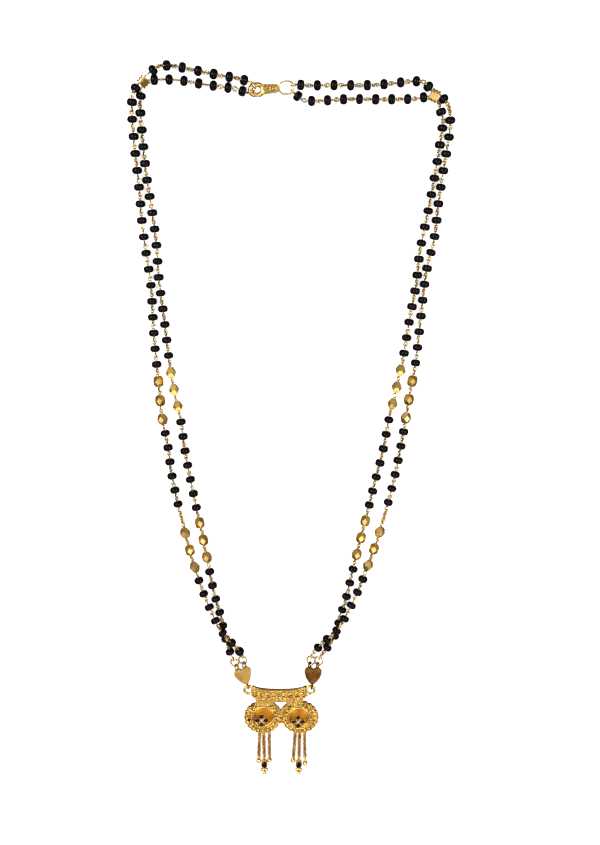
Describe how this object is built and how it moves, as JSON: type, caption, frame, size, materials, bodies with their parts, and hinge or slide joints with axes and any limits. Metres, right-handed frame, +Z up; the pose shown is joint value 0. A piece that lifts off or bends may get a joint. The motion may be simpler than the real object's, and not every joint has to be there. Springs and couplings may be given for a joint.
{
  "type": "mangalsutra necklace",
  "caption": "Two-strand necklace of black beads and faceted gold beads on linked wire, with a twin-cup pendant, flower enamel and short chain drops.",
  "frame": {"origin": "centre of the outer box, at the level on which the necklace lies", "axes": "+Y from the pendant towards the clasp, +X to the right as seen from above, +Z up from the surface it lies on"},
  "size_m": [0.0932, 0.2227, 0.0061],
  "materials": {
    "black_beads": "glossy",
    "gold_beads": "polished",
    "linked_wire": "polished",
    "clasp_metal": "polished",
    "ring_wire": "polished",
    "pale_gold": "satin",
    "dark_gold": "polished",
    "pendant_gold": "polished",
    "drop_gold": "polished",
    "red_enamel": "glossy",
    "green_enamel": "glossy",
    "red_stone": "glossy",
    "dark_stone": "glossy"
  },
  "bodies": {
    "root": {"left_outer_beads": "black_beads", "left_inner_beads": "black_beads", "right_outer_beads": "black_beads", "right_inner_beads": "black_beads", "left_outer_gold": "gold_beads", "left_inner_gold": "gold_beads", "right_outer_gold": "gold_beads", "right_inner_gold": "gold_beads", "left_outer_thread": "linked_wire", "left_inner_thread": "linked_wire", "right_outer_thread": "linked_wire", "right_inner_thread": "linked_wire", "left_collar": "clasp_metal", "right_collar": "clasp_metal", "clasp": "clasp_metal", "left_outer_ring": "ring_wire", "left_inner_ring": "ring_wire", "right_outer_ring": "ring_wire", "right_inner_ring": "ring_wire", "left_heart": "pale_gold", "right_heart": "dark_gold", "pendant": "pendant_gold", "red_enamel": "red_enamel", "green_enamel": "green_enamel", "left_chain_a": "ring_wire", "left_chain_b": "ring_wire", "left_chain_c": "ring_wire", "right_chain_a": "ring_wire", "right_chain_b": "ring_wire", "right_chain_c": "ring_wire", "left_ball_a": "drop_gold", "left_ball_c": "drop_gold", "right_ball_a": "drop_gold", "right_ball_c": "drop_gold", "left_setting": "drop_gold", "right_setting": "drop_gold", "left_stone": "red_stone", "right_stone": "dark_stone"}
  },
  "joints": []
}
